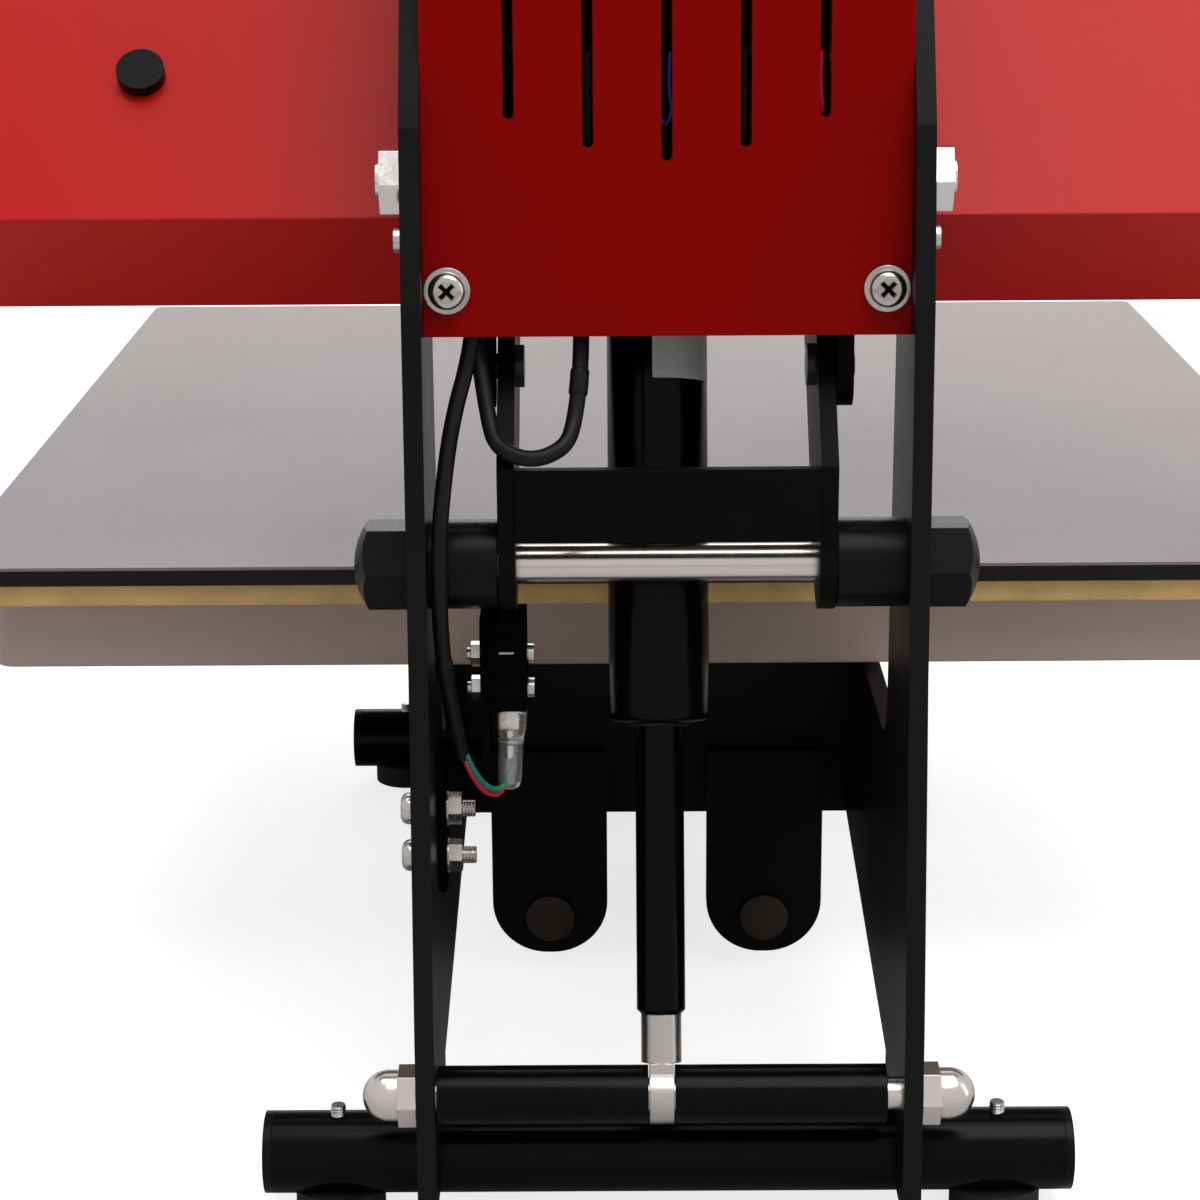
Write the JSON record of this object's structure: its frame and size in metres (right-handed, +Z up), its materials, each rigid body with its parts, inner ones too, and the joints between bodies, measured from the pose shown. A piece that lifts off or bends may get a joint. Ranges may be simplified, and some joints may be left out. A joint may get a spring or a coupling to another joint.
{
  "type": "clamshell heat press",
  "caption": "Clamshell heat press: a hinged upper heated platen closes on a flat lower platen, driven by a long handle with toggle links and opened by a gas spring.",
  "frame": {"origin": "centre of the bounding box's base, on the surface that the rubber feet stand on", "axes": "+Z up, the operator stands at -Y, +X across the press to the microswitch side"},
  "size_m": [0.38, 0.4918, 0.693],
  "materials": {
    "black_metal": "satin",
    "red_paint": "gloss",
    "chrome": "polished",
    "zinc": "satin",
    "black_plastic": "satin",
    "rubber": "matte",
    "foam": "matte",
    "silicone": "satin",
    "tray_gray": "satin",
    "insulation": "matte",
    "heater_alloy": "satin",
    "clear_sleeve": "clear",
    "wire_cover": "satin"
  },
  "bodies": {
    "base": {"side_plate_left": "black_metal", "side_plate_right": "black_metal", "head_screws": "zinc", "foot_tube_rear": "black_metal", "foot_tube_front": "black_metal", "tube_caps": "black_plastic", "rubber_feet": "rubber", "foot_studs": "zinc", "beam": "black_metal", "support_bars": "black_metal", "pivot_shaft": "chrome", "pivot_bushes": "black_plastic", "pivot_cap_nuts": "black_plastic", "lower_rod": "chrome", "rod_sleeves": "black_metal", "rod_dome_nuts": "chrome", "lower_tray": "tray_gray", "lower_insulation": "insulation", "lower_plate": "black_metal", "silicone_pad": "silicone", "handle_axles": "zinc", "rear_cover": "red_paint", "head_brackets": "black_metal", "control_housing": "red_paint", "display_window": "black_plastic", "cord_gland": "black_plastic", "switch_bracket": "black_metal", "bracket_fasteners": "zinc", "microswitch": "black_plastic", "switch_fasteners": "zinc", "crimp_sleeve": "clear_sleeve", "switch_cables": "black_plastic", "switch_wires": "wire_cover"},
    "arm": {"arm_plate_left": "black_metal", "arm_plate_right": "black_metal", "arm_web": "black_metal", "arm_pins": "zinc", "platen_carrier": "black_metal"},
    "platen": {"platen_cover": "red_paint", "hole_plugs": "black_plastic", "heater_block": "heater_alloy", "upper_insulation": "insulation", "platen_hub": "zinc"},
    "knob": {"pressure_screw": "zinc", "pressure_knob": "black_plastic"},
    "handle": {"handle_bar_left": "black_metal", "handle_bar_right": "black_metal", "handle_pins": "zinc", "handle_grips": "foam", "grip_caps": "black_plastic"},
    "links": {"toggle_links": "black_metal"},
    "spring_rod_body": {"spring_eye": "chrome", "spring_rod": "black_metal"},
    "spring_cylinder_body": {"spring_cylinder": "black_metal"},
    "button_set_body": {"button_set": "black_plastic"},
    "button_minus_body": {"button_minus": "black_plastic"},
    "button_plus_body": {"button_plus": "black_plastic"},
    "rocker": {"power_rocker": "black_plastic"},
    "lever": {"switch_lever": "zinc"}
  },
  "joints": [
    {"name": "arm_pivot", "type": "hinge", "parent": "base", "child": "arm", "pos_m": [0, 0.2135, 0.1617], "axis": [1, 0, 0], "range_deg": [0, 49], "stiffness_Nm_per_rad": 12, "springref_deg": -148.97},
    {"name": "platen_height", "type": "slide", "parent": "arm", "child": "platen", "axis": [0, 0.7547, 0.6561], "range_m": [0, 0.003]},
    {"name": "knob_turn", "type": "hinge", "parent": "platen", "child": "knob", "pos_m": [0, 0.07827, 0.4011], "axis": [0, 0.7547, 0.6561], "range_deg": [0, 725]},
    {"name": "handle_pivot", "type": "hinge", "parent": "base", "child": "handle", "pos_m": [0, 0.2015, 0.25], "axis": [1, 0, 0], "range_deg": [0, 86]},
    {"name": "link_pivot", "type": "hinge", "parent": "handle", "child": "links", "pos_m": [0, 0.19136, 0.26724], "axis": [1, 0, 0], "range_deg": [-102, 0]},
    {"name": "spring_swing", "type": "hinge", "parent": "base", "child": "spring_rod_body", "pos_m": [0.0017, 0.2375, 0.0366], "axis": [1, 0, 0], "range_deg": [0, 16]},
    {"name": "spring_slide", "type": "slide", "parent": "spring_rod_body", "child": "spring_cylinder_body", "axis": [0, -0.3266, 0.9452], "range_m": [-0.0272, 0]},
    {"name": "button_set_press", "type": "slide", "parent": "base", "child": "button_set_body", "axis": [0, 0.3846, -0.9231], "range_m": [0, 0.0008], "stiffness_N_per_m": 400, "springref_m": -0.0005},
    {"name": "button_minus_press", "type": "slide", "parent": "base", "child": "button_minus_body", "axis": [0, 0.3846, -0.9231], "range_m": [0, 0.0008], "stiffness_N_per_m": 400, "springref_m": -0.0005},
    {"name": "button_plus_press", "type": "slide", "parent": "base", "child": "button_plus_body", "axis": [0, 0.3846, -0.9231], "range_m": [0, 0.0008], "stiffness_N_per_m": 400, "springref_m": -0.0005},
    {"name": "rocker_tilt", "type": "hinge", "parent": "base", "child": "rocker", "pos_m": [0.0325, 0.1515, 0.3405], "axis": [1, 0, 0], "range_deg": [-6, 6]},
    {"name": "lever_press", "type": "hinge", "parent": "base", "child": "lever", "pos_m": [0.0386, 0.2099, 0.1482], "axis": [1, 0, 0], "range_deg": [0, 2.3], "stiffness_Nm_per_rad": 0.02, "springref_deg": -2.86}
  ],
  "couplings": [
    {"joint": "knob_turn", "follows": "platen_height", "rad_per_m": 4188.8},
    {"joint": "handle_pivot", "follows": "arm_pivot", "ratio": 1.74},
    {"joint": "link_pivot", "follows": "arm_pivot", "ratio": -2.07},
    {"joint": "spring_swing", "follows": "arm_pivot", "ratio": 0.3181},
    {"joint": "spring_slide", "follows": "arm_pivot", "m_per_rad": -0.03154}
  ]
}
